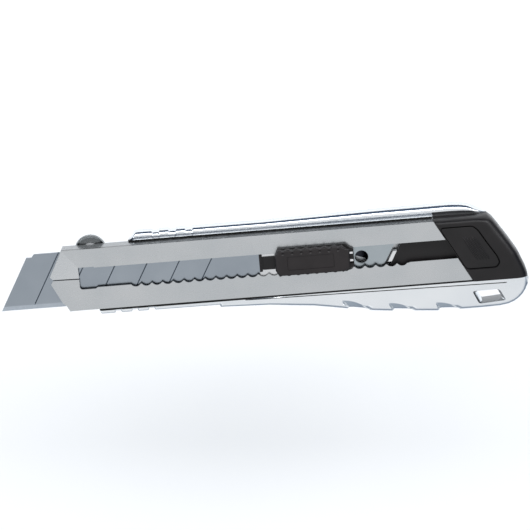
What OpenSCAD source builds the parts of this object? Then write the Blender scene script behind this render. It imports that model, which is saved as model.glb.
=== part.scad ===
// Heavy-duty snap-off utility knife for 25 mm blades.
// It lies on its back: +X runs to the end cap, +Y to the spine, +Z out of the face with the knob.
// Inside the file, x = 0 is near the middle of the handle and y = 0 is the blade's centre line.
// place() then moves every piece so that the origin is under the middle of the bounding box.

/* [Blade] */
// Width of the snap-off blade
blade_w = 25; // [24.8:0.05:25.1]
// Thickness of the blade
blade_t = 0.7; // [0.6:0.05:0.7]
// Length of the blade along one edge
blade_len = 126; // [124:0.5:127]
// Angle between the cutting edge and the front edge of the blade
blade_angle = 60.5; // [60:0.5:61]
// Distance between two score lines
segment = 14.45; // [14.3:0.05:14.5]
// Radius of the hole that drives the blade
blade_hole_r = 3; // [2.9:0.05:3.1]
// Where the tip of the working blade stands
blade_tip_x = -119.4; // [-120:0.1:-119]

/* [Channel] */
// Outer width of the steel channel
channel_w = 27.8; // [27.6:0.1:28]
// Outer height of the steel channel
channel_h = 9.3; // [9.3:0.05:9.4]
// Thickness of the channel's sheet
sheet = 0.9; // [0.85:0.05:0.9]
// Pitch of the locking notches
notch_pitch = 4.75; // [4.75:0.01:4.76]
// Number of locking notches
notch_count = 26; // [26:1:26]
// How far the nose is pressed in at its point
nose_drop = 1.2; // [1:0.05:1.2]

/* [Handle] */
// Angle of the leaning ends of the channel, the tongue and the end cap
end_angle = 61; // [60:0.5:62]
// Thickness of the back wall of the casting
back_t = 1.5; // [1.4:0.05:1.5]
// Height of the spine rail above the table
spine_h = 4; // [3.8:0.1:4.2]
// Height of the lower rail and the belly above the table
belly_h = 10.2; // [10:0.1:10.3]
// Depth of the belly below the centre line
belly_y = -27.7; // [-28:0.1:-27.5]

/* [Knob] */
// Length of the thumb knob
knob_len = 35; // [34.6:0.1:35]
// Width of the thumb knob
knob_w = 12.6; // [12.4:0.1:12.7]
// Height of the thumb knob above the channel
knob_h = 4.3; // [4:0.1:4.5]

/* [End cap] */
// Height of the end cap above the table
cap_h = 11.9; // [11.8:0.1:12.1]
// Thickness of the magazine tongue
tongue_t = 2.85; // [2.7:0.05:2.85]

/* [Wheel] */
// Radius of the thumbwheel behind the nose
wheel_r = 7.1; // [7:0.1:7.2]

/* [Hidden] */
$fn = 48;

// Extremes of the whole knife, which fix the origin
end_x = 115.8;
spine_y = 19.7;
middle = [(blade_tip_x + end_x) / 2, (belly_y + spine_y) / 2];

// Lean of the handle's slanted ends and of the blade's edges: x per unit of y
lean = 1 / tan(end_angle);
blade_lean = 1 / tan(blade_angle);

// Levels, from the table up
liner_t = 0.4;
channel_z = back_t + liner_t;
face_z = channel_z + channel_h;
spare_z = 6.6;
blade_gap = 0.1;
blade_z = 8.2;
carrier_z = 9.0;
carrier_t = 0.8;
block_z = carrier_z + carrier_t;
knob_z = face_z + 0.3;
tongue_z = 5.0;

// The blades lie nearer to the spine side of the channel
blade_y = 0.4;
blade_hole = [blade_len - 5.45, -0.65];
stud = [blade_tip_x + blade_hole.x, blade_y + blade_hole.y];

// Channel
wall_y = channel_w / 2;
slot_top = 5.3;
slot_low = -3.8;
slot_x = -83.3;
wide_x = -76.2;
wide_top = 5.7;
wide_low = -4.4;
tail_x = 62.6;
tail_low = -3.54;
notch_r = 2.6;
notch_depth = 1.1;
notch_x = -58.3;
rear_x = 83.15;
slit_y = 0.45;
slit_w = 0.5;
// Corners of the pressed nose: where the folds start, and the blunt point
nose_top = [-90.1, wall_y];
nose_low = [-89.9, -11.5];
nose_foot = [-88.7, -wall_y];
point_top = [-96.3, 2.0];
point_slit = [-95.1, slit_y];
point_low = [-96.1, -1.4];
point_side = [-91.6, -10.0];

// Casting and liner
liner_side = 0.55;
liner_low = 1.0;
rail_in = wall_y + 0.1 + liner_side + 0.05;
belly_in = -(wall_y + 0.05 + liner_low + 0.05);
screw_x = [-50, 10, 68];
screw_r = 1.45;
rib_pitch = 7.45;

// Slider: the pawl stands in a notch
pawl_x = notch_x + 17 * notch_pitch;
pawl_travel = 1.3;
pawl_tip = slot_low - notch_depth + 0.1;
knob_x = 4.2;
knob_y = 1.4;
knob_shift = 1.2;
grip_z = knob_z + 1.7;
scallop_pitch = 4.09;

// Wheel
wheel_pos = [-77.8, 10.85];
wheel_t = 1.3;
axle_r = 1.5;

// Cap and latch
cap_gap = 0.25;
pad_floor = 8.6;
pad_z = 10.0;
tongue_x = 57.95;

function slant(x, y) = x - lean * y;

module place() translate([-middle.x, -middle.y, 0]) children();

// Plate between z0 and z1 whose outline is a list of points
module plate(points, z0, z1) translate([0, 0, z0]) linear_extrude(z1 - z0) polygon(points);

// Box from corner a to corner b
module box(a, b) translate(a) cube(b - a);

// Bar along x whose section, a list of [y, z] points, runs from x0 to x1
module bar_x(x0, x1, section)
    translate([x0, 0, 0]) rotate([90, 0, 90]) linear_extrude(x1 - x0) polygon(section);

// ---- Blades ----

module blade_outline() {
    half = blade_w / 2;
    rise = blade_w * blade_lean;
    // The upper front corner keeps the notch left by the segment snapped off before
    polygon([[0, -half], [blade_lean * (blade_w - 1.35), half - 1.35],
        [blade_lean * (blade_w - 1.35) + 2.2, half - 1.5], [rise + 2.7, half],
        [blade_len + rise, half], [blade_len, -half]]);
}

module blade(tip_x, z0) {
    half = blade_w / 2;
    bevel = 2;
    edge = 0.06;
    score_depth = 0.14;
    score_w = 0.3;
    first = 13.85 + blade_lean * bevel;
    translate([tip_x, blade_y, z0]) difference() {
        intersection() {
            linear_extrude(blade_t) blade_outline();
            bar_x(-1, blade_len + 20, [[-half, (blade_t - edge) / 2], [bevel - half, 0], [half, 0],
                [half, blade_t], [bevel - half, blade_t], [-half, (blade_t + edge) / 2]]);
        }
        for (i = [0:5]) translate([first + i * segment, bevel - half, blade_t - score_depth])
            rotate([0, 0, blade_angle]) translate([0, -score_w / 2, 0])
                cube([blade_w * 1.3, score_w, 1]);
        translate([blade_hole.x, blade_hole.y, -1]) cylinder(r = blade_hole_r, h = 3);
    }
}

module working_blade() color([0.57, 0.6, 0.63]) place() blade(blade_tip_x, blade_z);

module spare_blade(index)
    color([0.66, 0.69, 0.72]) place() blade(-77.95, spare_z + index * (blade_t + blade_gap));

// ---- Channel ----

module slot_2d() {
    corner = 1.3;
    // Wide front of the slot, with a rounded lower corner and a short ramp behind it
    hull() {
        translate([slot_x, 0]) square([wide_x - slot_x, wide_top]);
        translate([slot_x + corner, wide_low + corner]) circle(corner);
        translate([wide_x - 1, wide_low]) square([1, 1]);
        translate([wide_x, slot_low]) square([0.8, 1]);
    }
    translate([wide_x - 1, slot_low]) square([tail_x - wide_x + 2, slot_top - slot_low]);
    translate([tail_x, tail_low]) square([60, slot_top - tail_low]);
    for (i = [0:notch_count - 1])
        translate([notch_x + i * notch_pitch, slot_low - notch_depth + notch_r]) circle(notch_r);
}

// One pressed facet of the nose: the part of a tilted sheet that lies over the outline.
// The fold runs from a to b, and the sheet has sunk by nose_drop at the point.
module nose_facet(a, b, point, points) {
    run = b - a;
    reach = (point - a) * [run.y, -run.x] / norm(run);
    bend = atan(nose_drop / reach);
    intersection() {
        plate(points, -8, 8);
        translate([a.x, a.y, 0]) rotate([0, 0, atan2(run.y, run.x)]) rotate([bend, 0, 0])
            translate([-40, -40, -sheet]) cube([80, 40.2, sheet]);
    }
}

// Both facets, hanging from z = 0; top_end and low_end are where the folds meet the slit or slot
module nose_facets(top_end, low_end) {
    nose_facet(nose_top, top_end, point_top,
        [nose_top, point_top, [point_slit.x, slit_y + slit_w / 2],
            [top_end.x, slit_y + slit_w / 2], top_end]);
    mirror([0, 1, 0]) nose_facet([nose_low.x, -nose_low.y], [low_end.x, -low_end.y],
        [point_low.x, -point_low.y],
        [[nose_low.x, -nose_low.y], [point_side.x, -point_side.y], [point_low.x, -point_low.y],
            [point_slit.x, slit_w / 2 - slit_y], [low_end.x, slit_w / 2 - slit_y],
            [low_end.x, -low_end.y]]);
}

function channel_outline(top_end, low_end) = [nose_top, [slant(rear_x, wall_y), wall_y],
    [slant(rear_x, -wall_y), -wall_y], nose_foot, nose_low, low_end, top_end];

module blade_channel() {
    slot_ends = [[slot_x, wide_top], [slot_x, wide_low]];
    back_ends = [[-82, slit_y + 1.5], [-82, slit_y - 1.5]];
    color([0.74, 0.75, 0.76]) place() difference() {
        union() {
            translate([0, 0, face_z - sheet]) linear_extrude(sheet) difference() {
                polygon(channel_outline(slot_ends[0], slot_ends[1]));
                slot_2d();
            }
            translate([0, 0, face_z]) nose_facets(slot_ends[0], slot_ends[1]);
            plate(channel_outline(back_ends[0], back_ends[1]), channel_z, channel_z + sheet);
            translate([0, 0, channel_z]) mirror([0, 0, 1])
                nose_facets(back_ends[0], back_ends[1]);
            for (y = [wall_y, sheet - wall_y]) {
                front_x = y > 0 ? nose_top.x : nose_foot.x;
                plate([[front_x, y - sheet], [slant(rear_x, y - sheet), y - sheet],
                    [slant(rear_x, y), y], [front_x, y]], channel_z, face_z);
            }
        }
        for (x = screw_x) translate([x, 0, 0]) cylinder(r = screw_r + 0.05, h = 4);
        translate([wheel_pos.x, wheel_pos.y, 0]) cylinder(r = axle_r + 0.05, h = 4);
    }
}

module channel_liner() {
    // Thin plastic tray between the channel and the casting
    front_top = -60.4;
    front_low = -75.6;
    low_y = -wall_y - 0.05 - liner_low;
    top_y = wall_y + 0.1 + liner_side;
    rear = rear_x - 0.3;
    beyond = 100;
    color([0.07, 0.07, 0.08]) place() difference() {
        union() {
            plate([[front_low, low_y], [front_top, top_y], [beyond, top_y], [beyond, low_y]],
                back_t, channel_z);
            box([front_top, wall_y + 0.1, back_t], [beyond, top_y, spine_h - 0.2]);
            box([front_low, low_y, back_t], [beyond, -wall_y - 0.05, belly_h - 0.3]);
        }
        // Leaning rear end
        plate([[slant(rear, 20), 20], [slant(rear, -20), -20], [beyond + 9, -20],
            [beyond + 9, 20]], 0, 20);
        for (x = screw_x) translate([x, 0, 0]) cylinder(r = screw_r + 0.3, h = 4);
    }
}

// ---- Handle casting ----

// Outer edge of the spine rail, front to rear
spine_points = [[-60.1, 14.9], [-58.8, 16.4], [-57.4, 18.2], [-56.7, 18.6], [-31, 18.6],
    [0, 18.6], [10, 18.8], [25, 19.05], [50, 19.5], [70, 19.6], [80, spine_y],
    [84, spine_y - 0.05], [88.6, 19.3], [91.6, 18.6], [93.6, 17.7], [95.5, 16.6], [97.3, 15.5]];

// Outer edge of the lower rail and belly, front to rear, with a step after each finger grip
belly_points = [[-75.3, -16.5], [-49.9, -16.6], [-22, -16.7], [-21.7, -17.9], [0, -18.8],
    [10, -20], [19.7, -20.9], [27.6, -22.2], [34.4, -23.4], [35.5, -22.8], [43.3, -23.8],
    [45.3, -25.1], [54.4, -26.1], [55.4, -25.2], [63, -25.6], [64.8, -26.8], [74.9, -27.6],
    [75.8, -26.5], [83.3, -26.6], [85.4, belly_y + 0.05], [93.5, belly_y], [102.4, -27.5],
    [106.4, -26.9], [109.2, -25.8], [111.2, -24.5], [113, -22.9], [114.5, -20.9], [115.3, -18.9],
    [115.7, -17], [end_x, -15.4]];

// Finger grips: the outline of each scoop on the face of the belly
scoops = [[[31.8, -19.8], [32.5, -19], [37.4, -19.8], [41.4, -20.8], [45, -24.2], [45, -30],
        [34.6, -30]],
    [[52.5, -22.4], [52.9, -21.8], [57.1, -21.9], [60.1, -22.5], [64.5, -26], [64.5, -30],
        [54.4, -30]],
    [[73.1, -23.7], [75.4, -23.1], [80.8, -23.4], [84.2, -25.8], [85.5, -27], [85.5, -30],
        [74.9, -30]]];

// Lanyard slot, a leaning slot with crisp corners
lanyard = [[92.4, -19.8], [94.7, -25], [104, -24.3], [101.6, -19.7]];
lanyard_mouth = [[90.7, -19.4], [93.3, -25.5], [105.2, -24.7], [102.4, -19.3]];

module rib_gaps(x, y, side) for (i = [0:2]) translate([x + i * rib_pitch, y])
    polygon([[0, 0], [0.5, 0.75 * side], [3.1, 0.75 * side], [3.6, 0], [3.6, -side], [0, -side]]);

module handle_casting() {
    // Slope of the finger grips
    slope = 28;
    color([0.82, 0.84, 0.86]) place() difference() {
        union() {
            // Back wall, with its leaning front and rear ends
            plate([[-75.3, belly_in - 0.5], [-60.1, rail_in + 0.5],
                [slant(rear_x, rail_in + 0.5), rail_in + 0.5],
                [slant(rear_x, belly_in - 0.5), belly_in - 0.5]], 0, back_t);
            // Spine rail
            difference() {
                plate(concat([[-60.1, rail_in]], spine_points, [[98.9, rail_in]]), 0, spine_h);
                translate([0, 0, -1]) linear_extrude(spine_h + 2)
                    rib_gaps(-49.7, 18.6, -1);
            }
            // Lower rail and belly
            difference() {
                plate(concat([[-75.3, belly_in]], belly_points, [[end_x, belly_in]]), 0, belly_h);
                translate([0, 0, -1]) linear_extrude(belly_h + 2)
                    rib_gaps(-69, -16.5, 1);
            }
        }
        // Finger grips, cut into the edge of the face at a slope
        for (scoop = scoops) intersection() {
            plate(scoop, 0, 20);
            translate([scoop[0].x, scoop[1].y, belly_h]) rotate([slope, 0, 0])
                translate([-5, -20, 0]) cube([40, 20, 10]);
        }
        // Groove that frames the belly, and its turn down to the heel
        groove_z = belly_h - 0.35;
        plate([[-10, -15.45], [-10, -15.2], [106, -16.4], [110.6, -23.1], [110.3, -23.3],
            [105.8, -16.7]], groove_z, 20);
        // Lanyard slot, with its wider mouth
        plate(lanyard, -1, 20);
        plate(lanyard_mouth, belly_h - 1.2, 20);
        for (x = screw_x) translate([x, 0, -1]) {
            cylinder(r = screw_r + 0.3, h = 4);
            cylinder(r1 = 3.4 + 0.4, r2 = 2.1, h = 2.2);
        }
    }
}

module channel_screws() {
    head_r = 2.8;
    color([0.5, 0.5, 0.5]) place() for (x = screw_x) translate([x, 0, 0]) difference() {
        union() {
            translate([0, 0, 0.2]) cylinder(r1 = head_r, r2 = screw_r, h = 1.2);
            translate([0, 0, 0.3]) cylinder(r = screw_r, h = channel_z + sheet - 0.3);
        }
        for (turn = [0, 90]) rotate([0, 0, turn])
            translate([-1.6, -0.3, 0]) cube([3.2, 0.6, 0.8]);
    }
}

module magazine_spring() {
    // Two bowed leaves that lift the spare blades against the working blade
    leaf = 0.3;
    low = channel_z + sheet + 0.02;
    high = spare_z - 0.02;
    knee = 3;
    color([0.15, 0.15, 0.17]) place() difference() {
        for (x = [-38, 15]) translate([x, 3, 0])
            rotate([90, 0, 0]) linear_extrude(6) polygon([[0, low], [knee, low],
                [14, high - leaf], [20, high - leaf], [31, low], [34, low], [34, low + leaf],
                [31, low + leaf], [20, high], [14, high], [knee, low + leaf], [0, low + leaf]]);
        // The rear leaf's end is cut off at a slant, under the holes of the spare blades
        plate([[38, 0.8], [52, -5.5], [38, -5.5]], channel_z, spare_z);
    }
}

// ---- Slider ----

module carrier() {
    // Pressed steel tray: it drives the blade from above and carries the block between its lips
    lip_z = face_z - sheet - 0.25;
    carrier_end = 38.8;
    color([0.7, 0.71, 0.72]) place() difference() {
        union() {
            // The rear corner is cut back, so that it clears the end cap when the blade is in
            plate([[-2.8, -12.6], [carrier_end, -12.6], [carrier_end, 5],
                [carrier_end - 2.6, 12.6], [-2.8, 12.6]], carrier_z, block_z);
            box([-1.4, 3.95, carrier_z], [36.5, 4.85, lip_z]);
            box([-1.4, -2.95, carrier_z], [36.5, -2.15, lip_z]);
        }
        translate([stud.x, stud.y, 0]) cylinder(r = 1.2, h = 20);
    }
}

module blade_stud() {
    // Headed rivet whose head fills the hole of the blade
    color([0.6, 0.6, 0.62]) place() translate([stud.x, stud.y, 0]) {
        translate([0, 0, blade_z + 0.02]) cylinder(r = blade_hole_r - 0.06, h = 0.76);
        translate([0, 0, blade_z + 0.1]) cylinder(r = 1.15, h = block_z - blade_z - 0.12);
    }
}

module slide_block() {
    top = knob_z - 0.05;
    post_room = knob_shift + 0.15;
    color([0.09, 0.09, 0.1]) place() difference() {
        union() {
            box([-1, -2.05, block_z + 0.02], [36, 3.85, top]);
            box([-2.8, -2.85, block_z + 0.02], [-1.5, 5.1, face_z - 0.3]);
            box([-1.6, -2.05, block_z + 0.02], [-0.9, 3.85, block_z + 0.35]);
        }
        // The front of the block is lower than the knob's seat
        box([-2, -3, face_z - 0.6], [4.6, 5, 20]);
        // Pocket of the pawl, open towards the notches
        box([pawl_x - 2.8, -5, face_z - 1.05], [pawl_x + 2.8, 3.4, 20]);
        // Pockets of the knob's two posts
        for (x = [11, 31]) box([x - 1.5 - post_room, -0.2, face_z - 1.1],
            [x + 1.5 + post_room, 2.2, 20]);
    }
}

module lock_pawl() {
    z0 = face_z - 0.85;
    color([0.62, 0.63, 0.65]) place() translate([0, 0, z0]) linear_extrude(0.8) {
        translate([pawl_x, pawl_tip + 1.85]) circle(1.85);
        translate([pawl_x - 2.6, pawl_tip + 1.9]) square([5.2, 3.1]);
    }
}

module pawl_spring() {
    // Bent leaf, drawn as the pressed pawl leaves it
    z0 = face_z - 0.95;
    leaf = 0.25;
    low = pawl_tip + 5 + pawl_travel + 0.05;
    high = 3.35;
    color([0.75, 0.75, 0.77]) place() translate([pawl_x, 0, z0]) linear_extrude(1)
        polygon([[-2.6, high], [-2.6, high - leaf], [-1.2, high - leaf], [-0.5, low], [0.5, low],
            [1.2, high - leaf], [2.6, high - leaf], [2.6, high], [1, high], [0.3, low + leaf],
            [-0.3, low + leaf], [-1, high]]);
}

knob_outline = [[0, -3.6], [1.5, -knob_w / 2], [knob_len - 3.2, -knob_w / 2],
    [knob_len, -4.2], [knob_len, 3.9], [knob_len - 1.2, 4.1], [knob_len - 3.2, knob_w / 2],
    [1.7, knob_w / 2], [0, 3.2]];

module thumb_knob() {
    color([0.11, 0.1, 0.11]) place() translate([knob_x, knob_y, 0]) difference() {
        union() {
            plate(knob_outline, knob_z, grip_z);
            for (x = [11, 31]) translate([x - knob_x, -knob_y, 0])
                box([-1.5, 0, face_z - 0.95], [1.5, 2, knob_z + 0.2]);
        }
        // Mouth at the rear, where the two prongs of the spring look out
        box([knob_len - 3.6, -2.9, knob_z + 0.45], [knob_len + 1, 2.9, grip_z + 1]);
    }
}

module knob_spring() {
    // Steel strip with two prongs
    color([0.75, 0.76, 0.78]) place() translate([knob_x, knob_y, knob_z + 0.5]) {
        box([knob_len - 3.5, -2.7, 0], [knob_len - 2.6, 2.7, 0.6]);
        for (y = [-2.1, 1.3]) box([knob_len - 3, y, 0], [knob_len - 0.3, y + 0.9, 0.6]);
    }
}

module knob_grip() {
    top = knob_z + knob_h;
    half = knob_w / 2 - 0.5;
    color([0.16, 0.15, 0.16]) place() translate([knob_x, knob_y, 0]) difference() {
        plate([[0.6, -3.3], [2, -half], [knob_len - 3.8, -half], [knob_len - 2, -4],
            [knob_len - 2, 3.8], [knob_len - 3.8, half], [2, half], [0.6, 3]],
            grip_z + 0.02, top);
        // Scallops along both long sides
        for (i = [0:6], side = [-1, 1])
            translate([3.9 + i * scallop_pitch, side * (half + 0.6), grip_z + 0.6])
                cylinder(r = 1.45, h = 9);
        // Sunk field with a raised frame
        box([5, -3.3, top - 0.45], [26.6, 3.3, top + 1]);
    }
}

// ---- End cap ----

cap_outline = [[slant(rear_x + cap_gap, 14.5), 14.5], [99.2, 14.5], [101.5, 12.4],
    [103.4, 9.7], [108.3, 2.2], [111.8, -3.6], [113.3, -7.2], [114.7, -10.7], [115.5, -13.2],
    [115.5, -14.75], [slant(rear_x + cap_gap, -14.75), -14.75]];

pad_outline = [[78.3, 10.5], [90.6, 10.5], [93, 10], [94.6, 8.6], [98.5, 2.1], [102.4, -4],
    [103.3, -6], [103.1, -7.6], [101.8, -8.6], [88.9, -8.6]];

// One level of the cap: shrunk by d on every side but the front
module cap_slice(d) hull() {
    offset(delta = -d) polygon(cap_outline);
    translate([-d / sin(end_angle), 0]) offset(delta = -d) polygon(cap_outline);
}

module end_cap() {
    color([0.13, 0.12, 0.13]) place() difference() {
        hull() {
            translate([0, 0, 1.2]) linear_extrude(6.6) cap_slice(0);
            linear_extrude(cap_h - 1.6) cap_slice(1.0);
            linear_extrude(cap_h - 0.5) cap_slice(2.2);
            linear_extrude(cap_h) cap_slice(3.6);
        }
        // Room for the latch pad, its travel and its spring
        translate([0, 0, pad_floor]) linear_extrude(20) offset(delta = 0.25) polygon(pad_outline);
        // Socket for the root of the tongue, open to the channel
        box([70, -6.2, tongue_z - 0.1], [98.2, 6.2, tongue_z + tongue_t + 0.15]);
        for (y = [-3.5, 3.5]) translate([95, y, -1]) cylinder(r = 1.3, h = 6);
        for (y = [-3.5, 3.5]) translate([95, y, -1]) cylinder(r = 2.4, h = 2);
    }
}

module magazine_tongue() {
    color([0.09, 0.09, 0.1]) place() difference() {
        plate([[tongue_x - lean * 6, -6], [tongue_x + lean * 6, 6], [98, 6], [98, -6]],
            tongue_z, tongue_z + tongue_t);
        for (y = [-3.5, 3.5]) translate([95, y, 0]) cylinder(r = 1.15, h = 20);
    }
}

module blade_stop() {
    // Short steel edge in front of the tongue, behind the tails of the spare blades
    y0 = -3.4;
    y1 = 1.2;
    stop_t = 1.7;
    front = tongue_x - 0.2 - stop_t;
    color([0.8, 0.81, 0.82]) place() plate([[front + lean * y0, y0], [front + lean * y1, y1],
        [front + stop_t + lean * y1, y1], [front + stop_t + lean * y0, y0]],
        tongue_z, tongue_z + tongue_t);
}

module tongue_screws() {
    color([0.5, 0.5, 0.5]) place() for (y = [-3.5, 3.5]) translate([95, y, 0]) difference() {
        union() {
            translate([0, 0, 0.1]) cylinder(r = 2.2, h = 0.85);
            translate([0, 0, 0.5]) cylinder(r = 1.1, h = tongue_z + 1.8);
        }
        for (turn = [0, 90]) rotate([0, 0, turn])
            translate([-1.3, -0.25, 0]) cube([2.6, 0.5, 0.6]);
    }
}

module latch_pad() {
    rib_step = 1.3;
    color([0.15, 0.14, 0.15]) place() {
        plate(pad_outline, pad_z, cap_h - 0.3);
        // Leaning ridges for the thumb
        intersection() {
            plate(pad_outline, pad_z, 20);
            for (i = [0:4]) translate([90.9 + i * rib_step, 0.4, cap_h - 0.5])
                rotate([0, 0, 180 - end_angle]) translate([-6.6, -0.3, 0])
                    cube([13.2, 0.6, 0.7]);
        }
    }
}

module latch_spring() {
    color([0.75, 0.75, 0.77]) place() translate([91, 0, pad_floor + 0.02]) difference() {
        cylinder(r = 3, h = pad_z - pad_floor - 0.04);
        translate([0, 0, -1]) cylinder(r = 2.4, h = 5);
    }
}

// ---- Thumbwheel ----

module thumbwheel() {
    color([0.5, 0.51, 0.52]) place() translate([wheel_pos.x, wheel_pos.y, 0])
        rotate_extrude($fn = 96) polygon([[axle_r + 0.06, 0.05], [wheel_r - 0.5, 0.05],
            [wheel_r, 0.35], [wheel_r, wheel_t - 0.25], [wheel_r - 0.4, wheel_t],
            [axle_r + 0.06, wheel_t]]);
}

module wheel_washer() {
    color([0.7, 0.7, 0.72]) place() translate([wheel_pos.x, wheel_pos.y, wheel_t + 0.08])
        difference() {
            cylinder(r = 3.6, h = channel_z - wheel_t - 0.12);
            translate([0, 0, -1]) cylinder(r = axle_r + 0.06, h = 3);
        }
}

module wheel_axle() {
    color([0.6, 0.6, 0.62]) place() translate([wheel_pos.x, wheel_pos.y, 0]) {
        translate([0, 0, 0.2]) cylinder(r = axle_r, h = channel_z + sheet - 0.1);
        translate([0, 0, channel_z + sheet + 0.02]) cylinder(r = 2, h = 0.5);
    }
}

handle_casting();
channel_liner();
blade_channel();
channel_screws();
working_blade();
spare_blade(0);  // spare_blade_1
spare_blade(1);  // spare_blade_2
magazine_spring();
carrier();
slide_block();
blade_stud();
thumb_knob();
knob_grip();
knob_spring();
lock_pawl();
pawl_spring();
end_cap();
magazine_tongue();
blade_stop();
tongue_screws();
latch_pad();
latch_spring();
thumbwheel();
wheel_axle();
wheel_washer();
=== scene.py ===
"""Looks of the snap-off utility knife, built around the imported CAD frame.

Lengths in this script are millimetres in the knife's own drawing frame: x = 0 near the middle of
the handle, y = 0 on the blade's centre line, z = 0 on the table. at() turns them into the frame's
metres. The CAD nodes stay where they are; the casting, the cap, the knob and the small round parts
get finer meshes that stand for them.
"""

import bisect
import math

import bmesh
import bpy
from mathutils import Matrix, Vector


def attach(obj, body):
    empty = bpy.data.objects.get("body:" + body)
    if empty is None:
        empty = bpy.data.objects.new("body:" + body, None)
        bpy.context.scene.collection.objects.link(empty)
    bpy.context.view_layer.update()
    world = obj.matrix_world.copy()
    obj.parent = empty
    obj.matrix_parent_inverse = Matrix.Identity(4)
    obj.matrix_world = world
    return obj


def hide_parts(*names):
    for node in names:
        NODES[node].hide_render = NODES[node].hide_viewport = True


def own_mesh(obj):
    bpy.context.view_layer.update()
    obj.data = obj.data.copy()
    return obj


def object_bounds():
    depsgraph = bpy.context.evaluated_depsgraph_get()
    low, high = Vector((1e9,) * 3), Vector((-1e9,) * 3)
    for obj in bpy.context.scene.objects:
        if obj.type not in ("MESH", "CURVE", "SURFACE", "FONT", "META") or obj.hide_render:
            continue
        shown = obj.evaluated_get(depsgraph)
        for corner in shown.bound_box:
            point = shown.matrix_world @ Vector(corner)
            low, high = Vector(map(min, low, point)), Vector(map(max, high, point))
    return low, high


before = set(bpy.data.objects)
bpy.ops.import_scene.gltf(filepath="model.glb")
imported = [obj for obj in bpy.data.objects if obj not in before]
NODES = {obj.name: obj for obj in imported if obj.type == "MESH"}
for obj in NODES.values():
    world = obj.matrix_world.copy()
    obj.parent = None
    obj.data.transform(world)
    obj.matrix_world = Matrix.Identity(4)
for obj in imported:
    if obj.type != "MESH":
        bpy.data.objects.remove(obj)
CAD_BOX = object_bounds()

MM = 0.001
TIP_X = -119.4  # the blade's tip, which is the low end of the CAD box
SPINE_Y = 19.7  # the widest point of the spine rail, its high side
SHIFT = Vector((CAD_BOX[0][0] / MM - TIP_X, CAD_BOX[1][1] / MM - SPINE_Y, 0.0))

# Levels and edges that several pieces share
LEAN = 1 / math.tan(math.radians(61))
BLADE_LEAN = 1 / math.tan(math.radians(60.5))
FACE_Z = 11.2
BACK_T = 1.5
RAIL_IN = 14.6
SPINE_H = 4.75
BELLY_IN = -15.0
BELLY_H = 10.2
REAR_X = 83.15
CAP_H = 11.9
KNOB_Z = 11.5
BLADE_Y = 0.4
WHEEL = (-77.8, 10.85)


def at(x, y, z=0.0):
    """A point of the drawing frame, in millimetres, as a place in the scene, in metres."""
    return (Vector((x, y, z)) + SHIFT) * MM


def smooth(t):
    """Eased step from 0 to 1."""
    t = min(1.0, max(0.0, t))
    return t * t * (3 - 2 * t)


def follow(points, x):
    """The y of a polyline, given as (x, y) points with rising x, at one x."""
    i = bisect.bisect_right([p[0] for p in points], x)
    if i == 0:
        return points[0][1]
    if i == len(points):
        return points[-1][1]
    (x0, y0), (x1, y1) = points[i - 1], points[i]
    return y0 + (y1 - y0) * (x - x0) / (x1 - x0)


def spread(low, high, step):
    """Even values from low to high, both included, about step apart."""
    count = max(1, round((high - low) / step))
    return [low + (high - low) * i / count for i in range(count + 1)]


# ---- Mesh helpers ----


def finish_mesh(name, bm, material, sharp=35):
    """Turns a bmesh, drawn in millimetres, into a smooth-shaded object with crisp edges."""
    bmesh.ops.remove_doubles(bm, verts=bm.verts, dist=1e-4)
    bmesh.ops.recalc_face_normals(bm, faces=bm.faces)
    for v in bm.verts:
        v.co = at(*v.co)
    mesh = bpy.data.meshes.new(name)
    bm.to_mesh(mesh)
    bm.free()
    mesh.materials.append(material)
    mesh.shade_smooth()
    mesh.set_sharp_from_angle(angle=math.radians(sharp))
    piece = bpy.data.objects.new(name, mesh)
    bpy.context.collection.objects.link(piece)
    return piece


def loft(bm, rings, caps=True):
    """Closed skin through rings that have the same number of points."""
    rows = [[bm.verts.new(p) for p in ring] for ring in rings]
    for a, b in zip(rows, rows[1:]):
        for i in range(len(a)):
            j = (i + 1) % len(a)
            bm.faces.new((a[i], a[j], b[j], b[i]))
    if caps:
        bm.faces.new(rows[0])
        bm.faces.new(reversed(rows[-1]))


def prism(bm, outline, levels):
    """Stack of one outline. Each level is (z, inset), and inset shrinks the outline."""
    loft(bm, [[(x, y, z) for x, y in inset_outline(outline, d)] for z, d in levels])


def inset_outline(outline, distance):
    """Moves each side of a counter-clockwise outline inwards by a distance."""
    if not distance:
        return [tuple(p) for p in outline]
    moved = []
    for i, point in enumerate(outline):
        here = Vector(point)
        before = (here - Vector(outline[i - 1])).normalized()
        after = (Vector(outline[(i + 1) % len(outline)]) - here).normalized()
        normal = Vector((-before.y - after.y, before.x + after.x))
        normal.normalize()
        scale = max(0.5, normal.dot(Vector((-before.y, before.x))))
        moved.append(tuple(here + normal * distance / scale))
    return moved


def round_corners(outline, radius, steps=5):
    """Replaces each corner of an outline with an arc-like curve."""
    rounded = []
    for i, point in enumerate(outline):
        here = Vector(point)
        to_last = Vector(outline[i - 1]) - here
        to_next = Vector(outline[(i + 1) % len(outline)]) - here
        reach = min(radius, to_last.length * 0.45, to_next.length * 0.45)
        a = here + to_last.normalized() * reach
        b = here + to_next.normalized() * reach
        for k in range(steps + 1):
            t = k / steps
            rounded.append(tuple(a * (1 - t) ** 2 + here * 2 * t * (1 - t) + b * t * t))
    return rounded


def lathe(bm, profile, centre, count=64):
    """Turns a closed (radius, z) profile about the vertical line through centre."""
    rings = []
    for k in range(count):
        a = 2 * math.pi * k / count
        rings.append([(centre[0] + r * math.cos(a), centre[1] + r * math.sin(a), z)
                      for r, z in profile])
    rings.append(rings[0])
    loft(bm, rings, caps=False)


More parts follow.
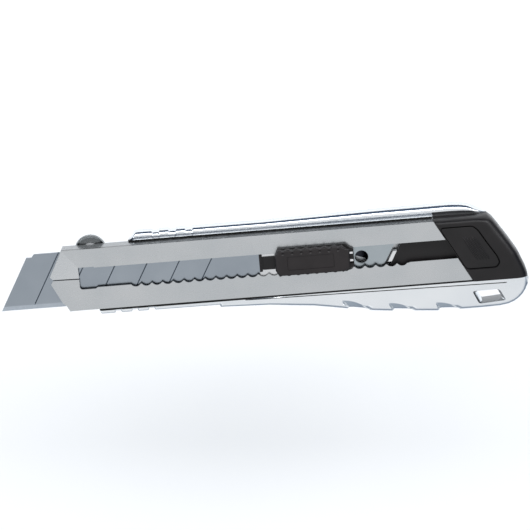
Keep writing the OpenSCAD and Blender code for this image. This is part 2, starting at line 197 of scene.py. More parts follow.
def cut(piece, cutters, sharp=35):
    """Subtracts the cutters from a piece, and deletes them."""
    for cutter in cutters:
        boolean = piece.modifiers.new("cut", "BOOLEAN")
        boolean.operation = "DIFFERENCE"
        boolean.solver = "EXACT"
        boolean.object = cutter
        apply_modifiers(piece, sharp)
        mesh = cutter.data
        bpy.data.objects.remove(cutter)
        bpy.data.meshes.remove(mesh)


def apply_modifiers(piece, sharp):
    """Replaces a piece's mesh with what its modifiers make of it."""
    bpy.context.view_layer.update()
    graph = bpy.context.evaluated_depsgraph_get()
    mesh = bpy.data.meshes.new_from_object(piece.evaluated_get(graph))
    piece.modifiers.clear()
    old = piece.data
    piece.data = mesh
    bpy.data.meshes.remove(old)
    mesh.set_sharp_from_angle(angle=math.radians(sharp))


def soften(piece, width, segments=2, fold=32):
    """Rounds the crisp edges of a flat-sided piece."""
    flat = piece.modifiers.new("flat", "DECIMATE")
    flat.decimate_type = "DISSOLVE"
    flat.angle_limit = math.radians(0.5)
    bevel = piece.modifiers.new("edges", "BEVEL")
    bevel.width = width * MM
    bevel.segments = segments
    bevel.limit_method = "ANGLE"
    bevel.angle_limit = math.radians(fold)
    bevel.harden_normals = True
    bevel.use_clamp_overlap = True


# ---- Materials ----


def colour_ramp(nodes, steps):
    """Colour ramp through steps, each (position, colour)."""
    ramp = nodes.new("ShaderNodeValToRGB")
    elements = ramp.color_ramp.elements
    for element, (position, colour) in zip(elements, (steps[0], steps[-1])):
        element.position, element.color = position, (*colour, 1)
    for position, colour in steps[1:-1]:
        elements.new(position).color = (*colour, 1)
    return ramp


class Material:
    """A node material under construction."""

    def __init__(self, name):
        self.material = bpy.data.materials.new(name)
        self.material.use_nodes = True
        self.tree = self.material.node_tree
        self.shader = self.tree.nodes["Principled BSDF"]
        self.place = self.tree.nodes.new("ShaderNodeTexCoord").outputs["Object"]

    def node(self, kind, **values):
        """Adds a node. Values are for its inputs, by their names in lower case."""
        made = self.tree.nodes.new(kind)
        for name, value in values.items():
            made.inputs[name.title()].default_value = value
        return made

    def link(self, source, target):
        """Feeds one socket into another."""
        self.tree.links.new(source, target)

    def split(self, vector, axis):
        """One component, X, Y or Z, of a vector."""
        parts = self.node("ShaderNodeSeparateXYZ")
        self.link(vector, parts.inputs["Vector"])
        return parts.outputs[axis]

    def noise(self, scale, stretch=(1, 1, 1), detail=3.0):
        """Noise whose grain is about 1/scale metres, stretched along the axes."""
        mapping = self.node("ShaderNodeMapping", scale=stretch)
        texture = self.node("ShaderNodeTexNoise", scale=scale, detail=detail)
        self.link(self.place, mapping.inputs["Vector"])
        self.link(mapping.outputs["Vector"], texture.inputs["Vector"])
        return texture.outputs["Fac"]

    def spread(self, source, low, high, start=0.3, end=0.7):
        """Maps a 0 to 1 pattern onto the range low to high."""
        ramp = self.node("ShaderNodeMapRange")
        for name, value in (("From Min", start), ("From Max", end), ("To Min", low),
                            ("To Max", high)):
            ramp.inputs[name].default_value = value
        self.link(source, ramp.inputs["Value"])
        return ramp.outputs["Result"]

    def tones(self, source, dark, light, start=0.3, end=0.7):
        """Colour that runs from dark to light with a pattern."""
        ramp = colour_ramp(self.tree.nodes, [(start, dark), (end, light)])
        self.link(source, ramp.inputs["Fac"])
        self.link(ramp.outputs["Color"], self.shader.inputs["Base Color"])

    def bumps(self, layers):
        """Adds height patterns, each (pattern, height in mm)."""
        normal = None
        for source, height in layers:
            bump = self.node("ShaderNodeBump", distance=height * MM, strength=1.0)
            self.link(source, bump.inputs["Height"])
            if normal:
                self.link(normal, bump.inputs["Normal"])
            normal = bump.outputs["Normal"]
        self.link(normal, self.shader.inputs["Normal"])

    def facing_spine(self):
        """1 on walls that face the spine side, 0 elsewhere."""
        normal = self.node("ShaderNodeNewGeometry").outputs["Normal"]
        return self.spread(self.split(normal, "Y"), 0.0, 1.0, 0.6, 0.8)

    def paint_shade(self, mask, axis, start, end, stops):
        """Paints shade: multiplies the colour, where the mask is 1, by tones that follow one axis.
        """
        ramp = colour_ramp(self.tree.nodes, [(place, (tone,) * 3) for place, tone in stops])
        height = self.split(self.place, axis)
        self.link(self.spread(height, 0.0, 1.0, start, end), ramp.inputs["Fac"])
        mix = self.node("ShaderNodeMix")
        mix.data_type, mix.blend_type = "RGBA", "MULTIPLY"
        colour = self.shader.inputs["Base Color"]
        self.link(mask, mix.inputs["Factor"])
        self.link(colour.links[0].from_socket, mix.inputs[6])
        self.link(ramp.outputs["Color"], mix.inputs[7])
        self.link(mix.outputs[2], colour)

    def rough(self, source, low, high):
        """Roughness that runs from low to high with a pattern."""
        self.link(self.spread(source, low, high), self.shader.inputs["Roughness"])


def metal(name, dark, light, rough, grain, stretch, height, cloud=60, anisotropy=0.0):
    """Metal with a fine directional grain over broad, faint clouds."""
    m = Material(name)
    m.shader.inputs["Metallic"].default_value = 1.0
    m.shader.inputs["Anisotropic"].default_value = anisotropy
    lines = m.noise(grain, stretch)
    clouds = m.noise(cloud)
    m.tones(clouds, dark, light)
    m.rough(lines, *rough)
    m.bumps([(lines, height)])
    return m


def plastic(name, dark, light, rough, grain, height):
    """Moulded plastic with a fine spark-eroded grain and slight shine on wear."""
    m = Material(name)
    m.shader.inputs["IOR"].default_value = 1.38
    fine = m.noise(grain, detail=4.0)
    broad = m.noise(130)
    m.tones(broad, dark, light)
    m.rough(broad, *rough)
    m.bumps([(fine, height), (broad, height * 1.5)])
    return m.material


def make_materials():
    metals = {
        "cast": metal("cast_metal", (0.78, 0.81, 0.84), (0.86, 0.88, 0.9), (0.12, 0.18),
                      900, (1, 1, 1), 0.0012, cloud=40),
        "channel": metal("channel_steel", (0.5, 0.52, 0.535), (0.56, 0.57, 0.58), (0.25, 0.3),
                         1100, (0.2, 1, 1), 0.00015, cloud=45),
        "blade": metal("blade_steel", (0.31, 0.345, 0.385), (0.35, 0.385, 0.425), (0.17, 0.23),
                       1800, (1, 0.08, 1), 0.0006),
        # painted shade: the spare blades are the working blade's steel, in a tone of their own set
        # for the shade they lie in under the channel face
        "spare": metal("spare_blade_steel", (0.36, 0.405, 0.43), (0.41, 0.45, 0.475), (0.17, 0.23),
                       1800, (1, 0.08, 1), 0.0006),
        "spring": metal("spring_steel", (0.72, 0.73, 0.74), (0.82, 0.82, 0.83), (0.12, 0.22),
                        1200, (1, 0.2, 1), 0.001),
        # painted shade: the magazine spring is nearly black so that it shows as the shade seen down
        # through the spare blade's hole
        "hole_shade": metal("blued_steel", (0.02, 0.021, 0.026), (0.035, 0.036, 0.045), (0.2, 0.3),
                       1200, (0.2, 1, 1), 0.001),
        "carrier": metal("carrier_steel", (0.62, 0.63, 0.64), (0.74, 0.74, 0.75), (0.2, 0.3),
                         1500, (0.1, 1, 1), 0.0015),
        "screw": metal("screw_steel", (0.4, 0.4, 0.4), (0.52, 0.52, 0.52), (0.2, 0.35),
                       1500, (1, 1, 1), 0.0015),
        "wheel": metal("wheel_metal", (0.22, 0.235, 0.24), (0.3, 0.31, 0.315), (0.2, 0.32),
                       1400, (1, 1, 1), 0.002),
    }
    # Painted shade on the walls of the lanyard slot, and on the side of the channel, with a darker
    # painted line along its folded edge
    cast, channel = metals["cast"], metals["channel"]
    # painted shade: belly walls that face the spine, the lanyard slot's among them, go down to a
    # fifth of their colour
    cast.paint_shade(cast.facing_spine(), "Y", -0.0115, -0.0105, [(0.0, 0.2), (1.0, 1.0)])
    # painted shade and reflection on the channel's side wall, darkest in a band just under the fold
    channel.paint_shade(channel.facing_spine(), "Z", 0.0, FACE_Z * MM,
                   [(0.0, 0.6), (0.78, 0.62), (0.86, 0.22), (1.0, 0.3)])
    mats = {name: m.material for name, m in metals.items()}
    mats.update({
        "black": plastic("black_plastic", (0.0055, 0.005, 0.0055), (0.009, 0.0075, 0.008),
                         (0.3, 0.4), 2600, 0.004),
        # partly painted shade: the channel liner is a part of its own, and its near-black, darker
        # than the other black plastic, paints the shade in the gap between the channel and the
        # casting
        "liner": plastic("liner_plastic", (0.002, 0.002, 0.002), (0.004, 0.004, 0.004),
                         (0.5, 0.6), 2200, 0.003),
        "grip": plastic("grip_plastic", (0.011, 0.0085, 0.009), (0.017, 0.0135, 0.014),
                        (0.4, 0.5), 2000, 0.012),
    })
    return mats


# ---- Handle casting ----

SPINE = [(-60.1, 14.9), (-58.8, 16.4), (-57.4, 18.2), (-56.7, 18.6), (-31, 18.6), (0, 18.6),
         (10, 18.8), (25, 19.05), (50, 19.5), (70, 19.6), (80, 19.7), (84, 19.65), (88.6, 19.3),
         (91.6, 18.6), (93.6, 17.7), (95.5, 16.6), (97.3, 15.5), (98.9, 14.7)]
BELLY = [(-75.3, -15.6), (-74.8, -16.5), (-49.9, -16.6), (-22, -16.7), (-21.7, -17.9),
         (0, -18.8), (10, -20), (19.7, -20.9), (27.6, -22.2), (34.4, -23.4), (35.5, -22.8),
         (43.3, -23.8), (45.3, -25.1), (54.4, -26.1), (55.4, -25.2), (63, -25.6), (64.8, -26.8),
         (74.9, -27.6), (75.8, -26.5), (83.3, -26.6), (85.4, -27.65), (93.5, -27.7),
         (102.4, -27.5), (106.4, -26.9), (109.2, -25.8), (111.2, -24.5), (113, -22.9),
         (114.5, -20.9), (115.3, -18.9), (115.7, -17), (115.8, -15.4)]
RIB_PITCH = 7.45
RIB_GAP = 3.5
SPINE_RIBS = -49.7  # where the first gap between ribs starts
BELLY_RIBS = -69.0
# Each finger grip: its left edge at the top and at the rim, then its far end
SCOOPS = [((31.9, -18.9), (34.9, -23.4), (44.8, -24.6)), ((52.6, -21.7), (54.9, -26.1),
          (64.4, -26.3)), ((73.6, -23.1), (75.4, -27.6), (85.2, -27.3))]
# Lanyard slot, and the rim of its chamfer on the face
LANYARD = [(92.4, -19.8), (94.7, -25.0), (104.0, -24.3), (101.6, -19.7)]
LANYARD_RIM = [(90.5, -19.4), (93.2, -25.4), (105.3, -24.6), (102.6, -19.3)]


def rib_dip(x, start):
    """1 inside the gaps between the three ribs, 0 on them."""
    dip = 0.0
    for i in range(3):
        t = (x - start - i * RIB_PITCH) / RIB_GAP
        dip = max(dip, min(smooth(t * 5), smooth((1 - t) * 5)))
    return dip


def stations(low, high, fine_spans):
    """Places along x: 1.2 mm apart, and 0.25 mm apart in the spans that need it."""
    xs = set(spread(low, high, 1.2))
    for a, b in fine_spans:
        xs.update(spread(a, b, 0.25))
    xs = sorted(xs)
    return [x for i, x in enumerate(xs) if i == 0 or x - xs[i - 1] > 0.02]


def spine_ring(x):
    """Section of the spine rail: a bead that is steep on its outer side."""
    dip = rib_dip(x, SPINE_RIBS)
    y_out = max(RAIL_IN + 0.12, follow(SPINE, x) - 0.7 * dip)
    width = y_out - RAIL_IN
    full = min(1.0, width / 3.0)
    top = 1.2 + (SPINE_H - 1.2) * math.sqrt(full) - 0.35 * dip
    crest = RAIL_IN + width * 0.4
    low_z = min(0.9, top * 0.4)
    drop = 0.5 * (crest - RAIL_IN) * full
    ring = [(x, RAIL_IN, 0.0), (x, RAIL_IN, top - drop)]
    for k in range(1, 8):
        t = k / 7
        ring.append((x, RAIL_IN + (crest - RAIL_IN) * t, top - drop * (1 - t ** 1.15)))
    for k in range(1, 15):
        a = math.pi / 2 * k / 14
        ring.append((x, crest + (y_out - crest) * math.sin(a),
                     low_z + (top - low_z) * math.cos(a)))
    ring += [(x, y_out - 0.05 * width, 0.25), (x, y_out - 0.12 * width, 0.0)]
    return ring


def edge_distance(x, y, outline):
    """Distance from a point to the nearest side of an open polyline."""
    here = Vector((x, y))
    best = 1e9
    for a, b in zip(outline, outline[1:]):
        a, b = Vector(a), Vector(b)
        t = min(1.0, max(0.0, (here - a).dot(b - a) / (b - a).length_squared))
        best = min(best, (here - a - (b - a) * t).length)
    return best


def scoop_depth(x, y):
    """How far the finger grips lower the belly's face."""
    depth = 0.0
    for (x0, y0), (x1, y1), (x2, y2) in SCOOPS:
        left = x0 + (x1 - x0) * (y0 - y) / (y0 - y1)
        t = (x - x0) / (x2 - x0)
        top = y0 + (y2 - y0) * max(0.0, t) ** 2.2 * 0.9 - 0.25 * max(0.0, t)
        inside = smooth((x - left) / 0.5)
        depth = max(depth, inside * 0.55 * max(0.0, top - y) if t < 1.05 else 0.0)
    return min(depth, 1.7)


def groove_y(x):
    """Middle of the groove that runs along the belly."""
    return -15.4 - 0.011 * min(106, max(-10, x))


def belly_z(x, y):
    """Height of the belly's face: groove, finger grips, heel facet and rounded rim."""
    z = BELLY_H
    if -10 < x < 106:
        z -= 0.5 * max(0.0, 1 - abs(y - groove_y(x)) / 0.2)
    # The heel falls away behind a pair of lines that run down from the groove
    heel = (x - 104.6 - 0.75 * (-16.4 - y)) * math.cos(math.radians(37))
    z -= 0.14 * smooth(heel / 0.3) + 0.14 * smooth((heel - 1.3) / 0.3)
    z -= 0.16 * max(0.0, heel - 1.6)
    scoop = scoop_depth(x, y)
    z -= scoop
    d = edge_distance(x, y, BELLY)
    r = min(2.4, max(0.6, (BELLY_IN - follow(BELLY, x)) * 0.5)) * (1 - 0.7 * smooth(scoop * 2))
    if d < r:
        z -= (r - math.sqrt(max(0.0, r * r - (r - d) ** 2))) * 0.9
    return z


def belly_ring(x):
    """Section of the lower rail and belly, from the channel side outwards."""
    y_out = follow(BELLY, x) + 0.9 * rib_dip(x, BELLY_RIBS)
    width = BELLY_IN - y_out
    ring = [(x, BELLY_IN, 0.0), (x, BELLY_IN, belly_z(x, BELLY_IN) - 0.15)]
    dip = 0.4 * rib_dip(x, BELLY_RIBS)
    # Rows that follow the groove, then rows that close up towards the rim
    middle = max(groove_y(x), BELLY_IN - 0.4 * width)
    half = min(0.2, 0.14 * width)
    inner = middle - half
    rows = [middle + half * k for k in (1, 0.5, 0, -0.5, -1)]
    rows += [inner - (inner - y_out) * math.sin(math.pi / 2 * k / 44) for k in range(1, 44)]
    for y in rows:
        ring.append((x, y, max(0.8, belly_z(x, y) - dip)))
    rim = max(0.7, min(ring[-1][2] - 0.4, BELLY_H - 2.6))
    ring += [(x, y_out, rim), (x, y_out, 0.6), (x, y_out + min(0.5, width * 0.2), 0.0)]
    return ring


def make_casting(mats):
    bm = bmesh.new()
    loft(bm, [spine_ring(x) for x in stations(-60.1, 98.9, [(-60.1, -30), (86, 98.9)])])
    rail = finish_mesh("spine_rail", bm, mats["cast"], sharp=50)

    bm = bmesh.new()
    spans = [(-75.3, -49), (-23, -20), (30, 46), (52, 66), (72.5, 87), (101, 115.8)]
    loft(bm, [belly_ring(x) for x in stations(-75.3, 115.8, spans)])
    belly = finish_mesh("belly", bm, mats["cast"], sharp=50)
    bm = bmesh.new()
    hole, rim = round_corners(LANYARD, 0.9), round_corners(LANYARD_RIM, 1.2)
    loft(bm, [[(x, y, z) for x, y in outline] for outline, z in (
        (hole, -0.5), (hole, BELLY_H - 2.4), (rim, BELLY_H), (rim, BELLY_H + 1))])
    cut(belly, [finish_mesh("lanyard_cutter", bm, mats["cast"])])

    bm = bmesh.new()
    # Its sides reach a little way under the rail and the belly
    low, high = BELLY_IN - 0.6, RAIL_IN + 0.6
    prism(bm, [(-75.2, low), (REAR_X - LEAN * low, low), (REAR_X - LEAN * high, high),
               (-60.0, high)], [(0.02, 0.2), (0.22, 0.0), (BACK_T - 0.01, 0.0)])
    wall = finish_mesh("back_wall", bm, mats["cast"])
    holes = []
    for x in (-50, 10, 68):
        bm = bmesh.new()
        lathe(bm, [(0.01, -1), (3.6, -1), (3.2, 0.1), (1.75, 1.35), (1.75, 3), (0.01, 3)], (x, 0))
        holes.append(finish_mesh("screw_hole", bm, mats["cast"]))
    cut(wall, holes)
    for piece in (rail, belly, wall):
        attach(piece, "housing")
        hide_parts("handle_casting")


# ---- End cap and latch ----

CAP_REAR = [(-14.75, 115.5), (-13.2, 115.5), (-10.7, 114.7), (-7.2, 113.3), (-3.6, 111.8),
            (2.2, 108.3), (9.7, 103.4), (12.4, 101.5), (14.5, 99.2)]
PAD = [(78.3, 10.5), (88.9, -8.6), (101.8, -8.6), (103.3, -6.8), (102.4, -4), (98.5, 2.1),
       (94.6, 8.6), (92.4, 10.5)]


def cap_z(x, y):
    """Top of the cap: flat, rounded widely to the rear and the spine, narrowly to the belly."""
    rear = (follow(CAP_REAR, y) - x) * math.sin(math.radians(57))
    z = CAP_H
    wide = 4.6 + 1.4 * smooth((y + 2) / 12)
    if rear < wide:
        t = 1 - rear / wide
        z -= 4.4 * (1 - math.sqrt(max(0.0, 1 - t ** 2.4)))
    for side, width, fall in ((14.5 - y, 3.2, 5.6), (y + 14.75, 0.7, 0.6)):
        if side < width:
            t = 1 - side / width
            z -= fall * (1 - math.sqrt(max(0.0, 1 - t ** 3)))
    return z


def cap_ring(y):
    """Section of the cap at one y, from the front up, over the top and down the rear."""
    front = REAR_X + 0.25 - LEAN * y
    rear = follow(CAP_REAR, y)
    ring = [(front, y, 0.0), (front, y, cap_z(front, y) - 0.2)]
    for k in range(1, 60):
        t = k / 60
        t = t + 0.14 * math.sin(math.pi * t) * (1 - t) * 2
        x = front + 0.2 + (rear - front - 0.2) * min(t, 0.9995)
        ring.append((x, y, cap_z(x, y)))
    low = max(1.3, cap_z(rear, y) - 0.3)
    ring += [(rear, y, low), (rear, y, 1.0), (rear - 0.8, y, 0.0)]
    return ring


def make_cap(mats):
    bm = bmesh.new()
    edge = [0.03, 0.07, 0.13, 0.2, 0.3, 0.45, 0.7, 1.0, 1.4]
    ys = [-14.75] + [-14.75 + d for d in edge] + spread(-12.6, 12.6, 0.5)
    ys += [14.5 - d for d in reversed(edge)] + [14.5]
    loft(bm, [cap_ring(y) for y in ys])
    cap = finish_mesh("cap_shell", bm, mats["black"], sharp=40)
    bm = bmesh.new()
    prism(bm, round_corners(PAD, 1.6), [(8.6, -0.28), (CAP_H - 0.35, -0.28), (CAP_H + 0.5, -0.9)])
    pocket = finish_mesh("pad_pocket", bm, mats["black"])
    bm = bmesh.new()
    prism(bm, [(70, -6.2), (98.2, -6.2), (98.2, 6.2), (70, 6.2)], [(4.9, 0), (8.0, 0)])
    socket = finish_mesh("tongue_socket", bm, mats["black"])
    cutters = [pocket, socket]
    for y in (-3.5, 3.5):
        bm = bmesh.new()
        lathe(bm, [(0.01, -1), (2.4, -1), (2.4, 1.0), (1.3, 1.0), (1.3, 4), (0.01, 4)], (95, y))
        cutters.append(finish_mesh("screw_hole", bm, mats["black"]))
    cut(cap, cutters)
    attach(cap, "cap")
    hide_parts("end_cap")


def make_pad(mats):
    bm = bmesh.new()
    top = CAP_H - 0.25
    front = [(x - 0.2, y) for x, y in PAD[:2]]
    prism(bm, round_corners(front + PAD[2:], 1.5),
          [(10.0, 0.0), (top - 0.3, 0.0), (top - 0.09, 0.1), (top, 0.3)])
    # Leaning ridges for the thumb: rounded bars that fade out at both ends
    along = Vector((-LEAN, 1, 0)).normalized()
    across = Vector((along.y, -along.x, 0))
    for i in range(5):
        centre = Vector((90.9 + 1.3 * i, 0.4, top - 0.12))
        rings = []
        for k in range(13):
            s = k / 12 * 2 - 1
            size = math.sqrt(max(0.02, 1 - s ** 6))
            rings.append([centre + along * 6.6 * s + across * 0.34 * size * math.cos(a)
                          + Vector((0, 0, 0.42 * size * math.sin(a)))
                          for a in [math.pi * j / 8 for j in range(9)]])
        loft(bm, rings)
    pad = finish_mesh("thumb_pad", bm, mats["black"], sharp=40)
    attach(pad, "latch")
    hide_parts("latch_pad")


# ---- Knob ----

KNOB_X, KNOB_Y = 4.2, 1.4
KNOB_LEN, KNOB_W = 35.0, 12.6
SCALLOP = 4.09


def knob_outline(inset, wave, short=0.0):
    """Outline of the knob, counter-clockwise, with scallops on its two long sides."""
    half = KNOB_W / 2 - inset
    x0, x1 = KNOB_X + inset, KNOB_X + KNOB_LEN - inset - short
    low, high = KNOB_Y - half, KNOB_Y + half
    points = [(x0, KNOB_Y - 3.4), (x0 + 1.5, low)]
    xs = [x0 + 1.6 + (x1 - x0 - 4.9) * i / 72 for i in range(73)]
    phase = 2 * math.pi / SCALLOP
    points += [(x, low + wave * (0.5 - 0.5 * math.cos(phase * (x - 6.05)))) for x in xs]
    points += [(x1 - 3.2, low), (x1 - 0.3, KNOB_Y - 4.3), (x1, KNOB_Y - 4.0), (x1, KNOB_Y + 3.7),
               (x1 - 0.3, KNOB_Y + 4.0), (x1 - 1.2, KNOB_Y + 4.3), (x1 - 3.2, high)]
    points += [(x, high - wave * (0.5 - 0.5 * math.cos(phase * (x - 6.05))))
               for x in reversed(xs)]
    points += [(x0 + 1.6, high), (x0, KNOB_Y + 3.1)]
    return points


def make_knob(mats):
    top = KNOB_Z + 4.3
    bm = bmesh.new()
    levels = [(KNOB_Z, 0.25, 0.0), (KNOB_Z + 0.25, 0.0, 0.0), (13.0, 0.0, 0.0), (13.2, 0.12, 0.0)]
    loft(bm, [[(x, y, z) for x, y in knob_outline(d, w)] for z, d, w in levels])
    for x in (11, 31):
        prism(bm, [(x - 1.5, 0), (x + 1.5, 0), (x + 1.5, 2), (x - 1.5, 2)],
              [(10.3, 0), (KNOB_Z + 0.1, 0)])
    base = finish_mesh("knob_base", bm, mats["black"])
    bm = bmesh.new()
    end = KNOB_X + KNOB_LEN
    prism(bm, [(end - 3.6, KNOB_Y - 2.9), (end + 1, KNOB_Y - 2.9), (end + 1, KNOB_Y + 2.9),
               (end - 3.6, KNOB_Y + 2.9)], [(KNOB_Z + 0.45, 0), (14, 0)])
    cut(base, [finish_mesh("mouth", bm, mats["black"])])

    bm = bmesh.new()
    levels = [(13.22, 0.2, 0.3), (13.6, 0.1, 0.5), (14.6, 0.15, 0.7), (15.2, 0.3, 0.7),
              (15.55, 0.5, 0.6), (top - 0.06, 0.8, 0.35), (top, 1.3, 0.1)]
    loft(bm, [[(x, y, z) for x, y in knob_outline(d, w, 1.6)] for z, d, w in levels])
    grip = finish_mesh("knob_cover", bm, mats["grip"], sharp=45)
    # Sunk field
    x0, x1, y0, y1, depth = 9.6, 30.6, -2.1, 4.3, 0.28
    bm = bmesh.new()
    prism(bm, round_corners([(x0, y0), (x1, y0), (x1, y1), (x0, y1)], 0.8),
          [(top - depth, 0.25), (top + 1, -0.35)])
    cutters = [finish_mesh("field", bm, mats["grip"])]
    for i in range(7):
        x = 8.1 + SCALLOP * i
        bm = bmesh.new()
        lathe(bm, [(0.01, top - 0.5), (0.72, top), (0.9, top + 0.14), (0.01, top + 0.14)],
              (x, 5.6), count=16)
        cutters.append(finish_mesh("dimple", bm, mats["grip"]))
    cut(grip, cutters)
    for piece, node, slot in ((base, "thumb_knob", "black_plastic"),
                              (grip, "knob_grip", "grip_plastic")):
        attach(piece, "knob")
        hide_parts(node)


# ---- Blades ----


def make_blade(name, tip_x, z0, body, material):
    """Blade with a ground edge, V-shaped score lines, a hole and the notch of a snapped tip."""
    half, bevel, thick, length = 12.5, 2.0, 0.7, 126.0
    first_score, segment, score_depth = 13.85, 14.45, 0.42
    rows = [-half, bevel - half, bevel - half + 0.2, half]
    columns = [(0.0, 0.0)]
    for i in range(6):
        score = first_score + segment * i
        columns += [(score - 0.27, 0.0), (score, score_depth), (score + 0.27, 0.0)]
    columns.append((length, 0.0))
    bm = bmesh.new()
    top, under = [], []
    for s, depth in columns:
        edge = thick / 2 - 0.03
        places = [(tip_x + s + BLADE_LEAN * (y + half), y + BLADE_Y) for y in rows]
        drops = [edge, 0.0, depth, depth]
        rises = [edge, 0.0, 0.0, 0.0]
        top.append([bm.verts.new((x, y, z0 + thick - d)) for (x, y), d in zip(places, drops)])
        under.append([bm.verts.new((x, y, z0 + d)) for (x, y), d in zip(places, rises)])
    last = len(rows) - 1
    for i in range(len(columns) - 1):
        for j in range(last):
            bm.faces.new((top[i][j], top[i + 1][j], top[i + 1][j + 1], top[i][j + 1]))
            bm.faces.new((under[i][j], under[i][j + 1], under[i + 1][j + 1], under[i + 1][j]))
        bm.faces.new((under[i][0], under[i + 1][0], top[i + 1][0], top[i][0]))
        bm.faces.new((top[i][last], top[i + 1][last], under[i + 1][last], under[i][last]))
    for i in (0, -1):
        for j in range(last):
            bm.faces.new((top[i][j], top[i][j + 1], under[i][j + 1], under[i][j]))
    blade = finish_mesh(name + "_mesh", bm, material, sharp=4)
    corner = tip_x + BLADE_LEAN * (2 * half - 1.35)
    bm = bmesh.new()
    prism(bm, [(x, y + BLADE_Y) for x, y in (
        (corner - 2, half - 1.35), (corner, half - 1.35), (corner + 2.2, half - 1.5),
        (corner + 3.5, half), (corner + 3.8, half + 1), (corner - 2, half + 1))],
          [(z0 - 1, 0), (z0 + 2, 0)])
    notch = finish_mesh("notch", bm, material)
    bm = bmesh.new()
    lathe(bm, [(0.01, z0 - 1), (3.0, z0 - 1), (3.0, z0 + 2), (0.01, z0 + 2)],
          (tip_x + length - 5.45, BLADE_Y - 0.65))
    cut(blade, [notch, finish_mesh("hole", bm, material)], sharp=4)
    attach(blade, body)
    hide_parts(name)


# ---- Small round parts ----


def make_wheel(mats):
    bm = bmesh.new()
    r = 7.1
    # Dished disc with a rolled rim
    profile = [(1.58, 0.05), (r - 0.6, 0.05), (r - 0.2, 0.15), (r, 0.4), (r, 0.95), (r - 0.15, 1.2),
               (r - 0.4, 1.3), (r - 0.7, 1.26), (r - 0.9, 1.1), (r - 1.6, 1.02), (2.6, 1.02),
               (2.4, 1.3), (1.58, 1.3)]
    lathe(bm, profile, WHEEL, count=144)
    wheel = finish_mesh("wheel_disc", bm, mats["wheel"], sharp=40)
    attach(wheel, "wheel")
    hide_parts("thumbwheel")


def coil(name, centre, radius, wire, z0, z1, turns, material):
    """Compression spring with closed ends."""
    bm = bmesh.new()
    rings = []
    steps = int(turns * 28)
    for k in range(steps + 1):
        t = k / steps
        a = 2 * math.pi * turns * t
        rise = smooth((t - 0.08) / 0.84)
        z = z0 + wire + (z1 - z0 - 2 * wire) * rise
        out = Vector((math.cos(a), math.sin(a), 0))
        middle = Vector((*centre, z)) + out * radius
        rings.append([middle + out * wire * math.cos(b) + Vector((0, 0, wire * math.sin(b)))
                      for b in [2 * math.pi * j / 8 for j in range(8)]])
    loft(bm, rings)
    return finish_mesh(name, bm, material, sharp=60)


def make_spring(mats):
    spring = coil("latch_coil", (91, 0), 2.7, 0.1, 8.62, 9.98, 2.0, mats["spring"])
    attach(spring, "cap")
    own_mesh(spring)
    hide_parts("latch_spring")


# ---- CAD nodes that keep their shape ----


def dress_nodes(mats):
    # Material and width of the rounded edges, in millimetres
    looks = {
        "channel_liner": ("liner", 0.05), "blade_channel": ("channel", 0.3),
        "channel_screws": ("screw", 0.06), "magazine_spring": ("hole_shade", 0.05),
        "carrier": ("carrier", 0.12), "slide_block": ("black", 0.12), "blade_stud": ("screw", 0.06),
        "knob_spring": ("spring", 0.1), "lock_pawl": ("carrier", 0.08),
        "pawl_spring": ("spring", 0.03), "magazine_tongue": ("black", 0.2),
        "blade_stop": ("spring", 0.1), "tongue_screws": ("screw", 0.06),
        "wheel_axle": ("screw", 0.1), "wheel_washer": ("spring", 0.05),
    }
    for name, (look, edge) in looks.items():
        node = NODES[name]
        node.data.materials.clear()
        node.data.materials.append(mats[look])
        if name == "blade_channel":  # its pressed folds are shallow
            soften(node, edge, segments=3, fold=18)
        else:
            soften(node, edge)


# ---- Floor, light and camera ----


def make_floor():
    """White sheet well below the knife, so that no shadow shows and its rims see past the sheet."""
    m = Material("pale_floor")
    m.tones(m.noise(3), (0.93, 0.935, 0.94), (0.96, 0.963, 0.965))
    m.shader.inputs["Roughness"].default_value = 0.7
    m.bumps([(m.noise(400), 0.02)])
    bm = bmesh.new()
    bmesh.ops.create_grid(bm, x_segments=1, y_segments=1, size=0.3)
    mesh = bpy.data.meshes.new("floor")
    bm.to_mesh(mesh)
    bm.free()
    mesh.materials.append(m.material)
    floor = bpy.data.objects.new("floor", mesh)
    floor.location.z = -0.08
    bpy.context.collection.objects.link(floor)


def add_light(name, place, size, power, colour=(1, 1, 1)):
    """Rectangular softbox that faces the knife."""
    data = bpy.data.lights.new(name, "AREA")
    data.shape = "RECTANGLE"
    data.size, data.size_y = size
    data.energy = power
    data.color = colour
    light = bpy.data.objects.new(name, data)
    light.location = place
    light.rotation_euler = (-Vector(place)).to_track_quat("-Z", "Y").to_euler()
    bpy.context.collection.objects.link(light)


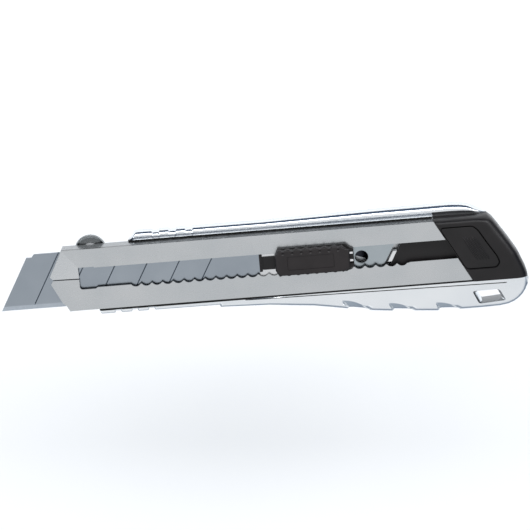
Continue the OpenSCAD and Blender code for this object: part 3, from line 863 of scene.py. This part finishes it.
def make_light():
    """Bright sky overhead, dark blue low on the spine's side, and softboxes around the knife."""
    world = bpy.data.worlds.new("studio")
    bpy.context.scene.world = world
    world.use_nodes = True
    nodes, links = world.node_tree.nodes, world.node_tree.links
    place = nodes.new("ShaderNodeTexCoord")
    split = nodes.new("ShaderNodeSeparateXYZ")
    links.new(place.outputs["Generated"], split.inputs["Vector"])
    zenith = (0.86, 0.875, 0.89)
    # Both run with the height of a direction, from the horizon at 0 to the zenith at 1
    belly_sky = colour_ramp(nodes, [(0.0, (0.2, 0.24, 0.3)), (0.3, (0.34, 0.39, 0.45)),
                                    (0.62, (0.8, 0.83, 0.86)), (0.85, zenith)])
    spine_sky = colour_ramp(nodes, [(0.0, (0.04, 0.06, 0.1)), (0.38, (0.13, 0.19, 0.3)),
                                    (0.52, (0.72, 0.78, 0.85)), (0.85, zenith)])
    side = nodes.new("ShaderNodeMapRange")
    side.inputs["From Min"].default_value = -0.25
    side.inputs["From Max"].default_value = 0.25
    mix = nodes.new("ShaderNodeMix")
    mix.data_type = "RGBA"
    links.new(split.outputs["Y"], side.inputs["Value"])
    links.new(side.outputs["Result"], mix.inputs["Factor"])
    for ramp, socket in ((belly_sky, 6), (spine_sky, 7)):
        links.new(split.outputs["Z"], ramp.inputs["Fac"])
        links.new(ramp.outputs["Color"], mix.inputs[socket])
    links.new(mix.outputs[2], nodes["Background"].inputs["Color"])
    add_light("spine_side", (0.1, 1.3, 1.0), (2.4, 0.45), 15)
    add_light("belly_side", (-0.5, -0.85, 1.35), (0.5, 0.35), 0.35)
    add_light("cap_side", (1.2, 0.8, 0.8), (0.7, 0.5), 7)
    add_light("tip_side", (-1.5, 0.5, 0.9), (0.9, 0.4), 6)


def make_camera():
    """Long lens, 14 degrees off the face towards the spine; the knife rises to the right."""
    tilt, turn, roll = (math.radians(a) for a in (14, 2, 5))
    away = Vector((math.sin(turn), math.sin(tilt), math.cos(tilt))).normalized()
    up = Vector((0, 1, 0))
    up = (up - away * up.dot(away)).normalized()
    up = Matrix.Rotation(-roll, 3, away) @ up
    right = up.cross(away)
    target = at(-0.335, 0.304, FACE_Z)
    data = bpy.data.cameras.new("camera")
    data.sensor_width = 36
    data.lens = 200
    distance = 6.532 * data.lens * MM
    camera = bpy.data.objects.new("camera", data)
    camera.matrix_world = Matrix.Translation(target + away * distance) @ Matrix(
        (right, up, away)).transposed().to_4x4()
    bpy.context.collection.objects.link(camera)
    bpy.context.scene.camera = camera
    bpy.context.scene.view_settings.view_transform = "Standard"


def main():
    make_camera()
    make_floor()
    make_light()
    mats = make_materials()
    dress_nodes(mats)
    make_casting(mats)
    make_cap(mats)
    make_pad(mats)
    make_knob(mats)
    make_blade("working_blade", TIP_X, 8.2, "slider", mats["blade"])
    for name, z0 in (("spare_blade_1", 6.6), ("spare_blade_2", 7.4)):
        make_blade(name, -77.95, z0, "housing", mats["spare"])
    make_wheel(mats)
    make_spring(mats)


main()
